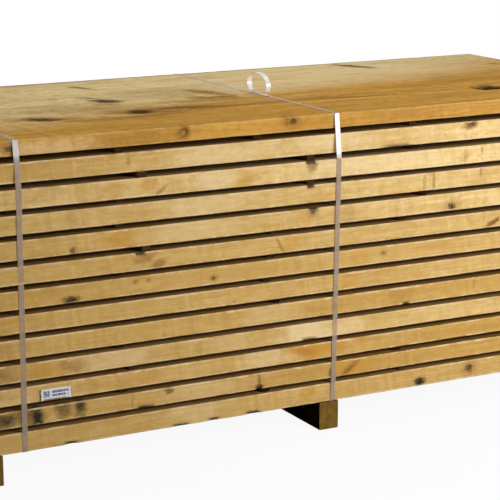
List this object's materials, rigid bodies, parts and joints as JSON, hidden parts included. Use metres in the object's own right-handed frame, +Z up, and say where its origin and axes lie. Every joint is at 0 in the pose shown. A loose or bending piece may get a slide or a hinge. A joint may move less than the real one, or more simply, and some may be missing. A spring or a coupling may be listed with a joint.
{
  "type": "stack of lumber",
  "caption": "Stickered stack of rough-sawn lumber: rows of boards kept apart by thin drying sticks, on cross bearers that leave room for forks, held by plastic straps.",
  "frame": {"origin": "on the floor under the middle of the stack: the centre of the bounding box's bottom face", "axes": "+X along the boards, -Y to the side that the picture shows, +Z up"},
  "size_m": [3.3, 1.0081, 1.0135],
  "materials": {
    "board_sawn": "rough sawn",
    "board_weathered": "rough sawn, sun-darkened",
    "stick": "rough sawn",
    "bearer": "rough sawn, dirty",
    "strap": "glossy white",
    "seal": "galvanised"
  },
  "bodies": {
    "root": {"boards_row_01": "board_sawn", "boards_row_02": "board_sawn", "boards_row_03": "board_sawn", "boards_row_04": "board_sawn", "boards_row_05": "board_sawn", "boards_row_06": "board_sawn", "boards_row_07": "board_sawn", "boards_row_08": "board_sawn", "boards_row_09": "board_sawn", "boards_row_10": "board_sawn", "boards_row_11": "board_sawn", "boards_row_12": "board_sawn", "boards_row_13": "board_weathered", "sticks_row_01": "stick", "sticks_row_02": "stick", "sticks_row_03": "stick", "sticks_row_04": "stick", "sticks_row_05": "stick", "sticks_row_06": "stick", "sticks_row_07": "stick", "sticks_row_08": "stick", "sticks_row_09": "stick", "sticks_row_10": "stick", "sticks_row_11": "stick", "sticks_row_12": "stick", "bearer_left": "bearer", "bearer_right": "bearer", "strap_left": "strap", "strap_right": "strap", "seal_left": "seal", "seal_right": "seal"}
  },
  "joints": []
}
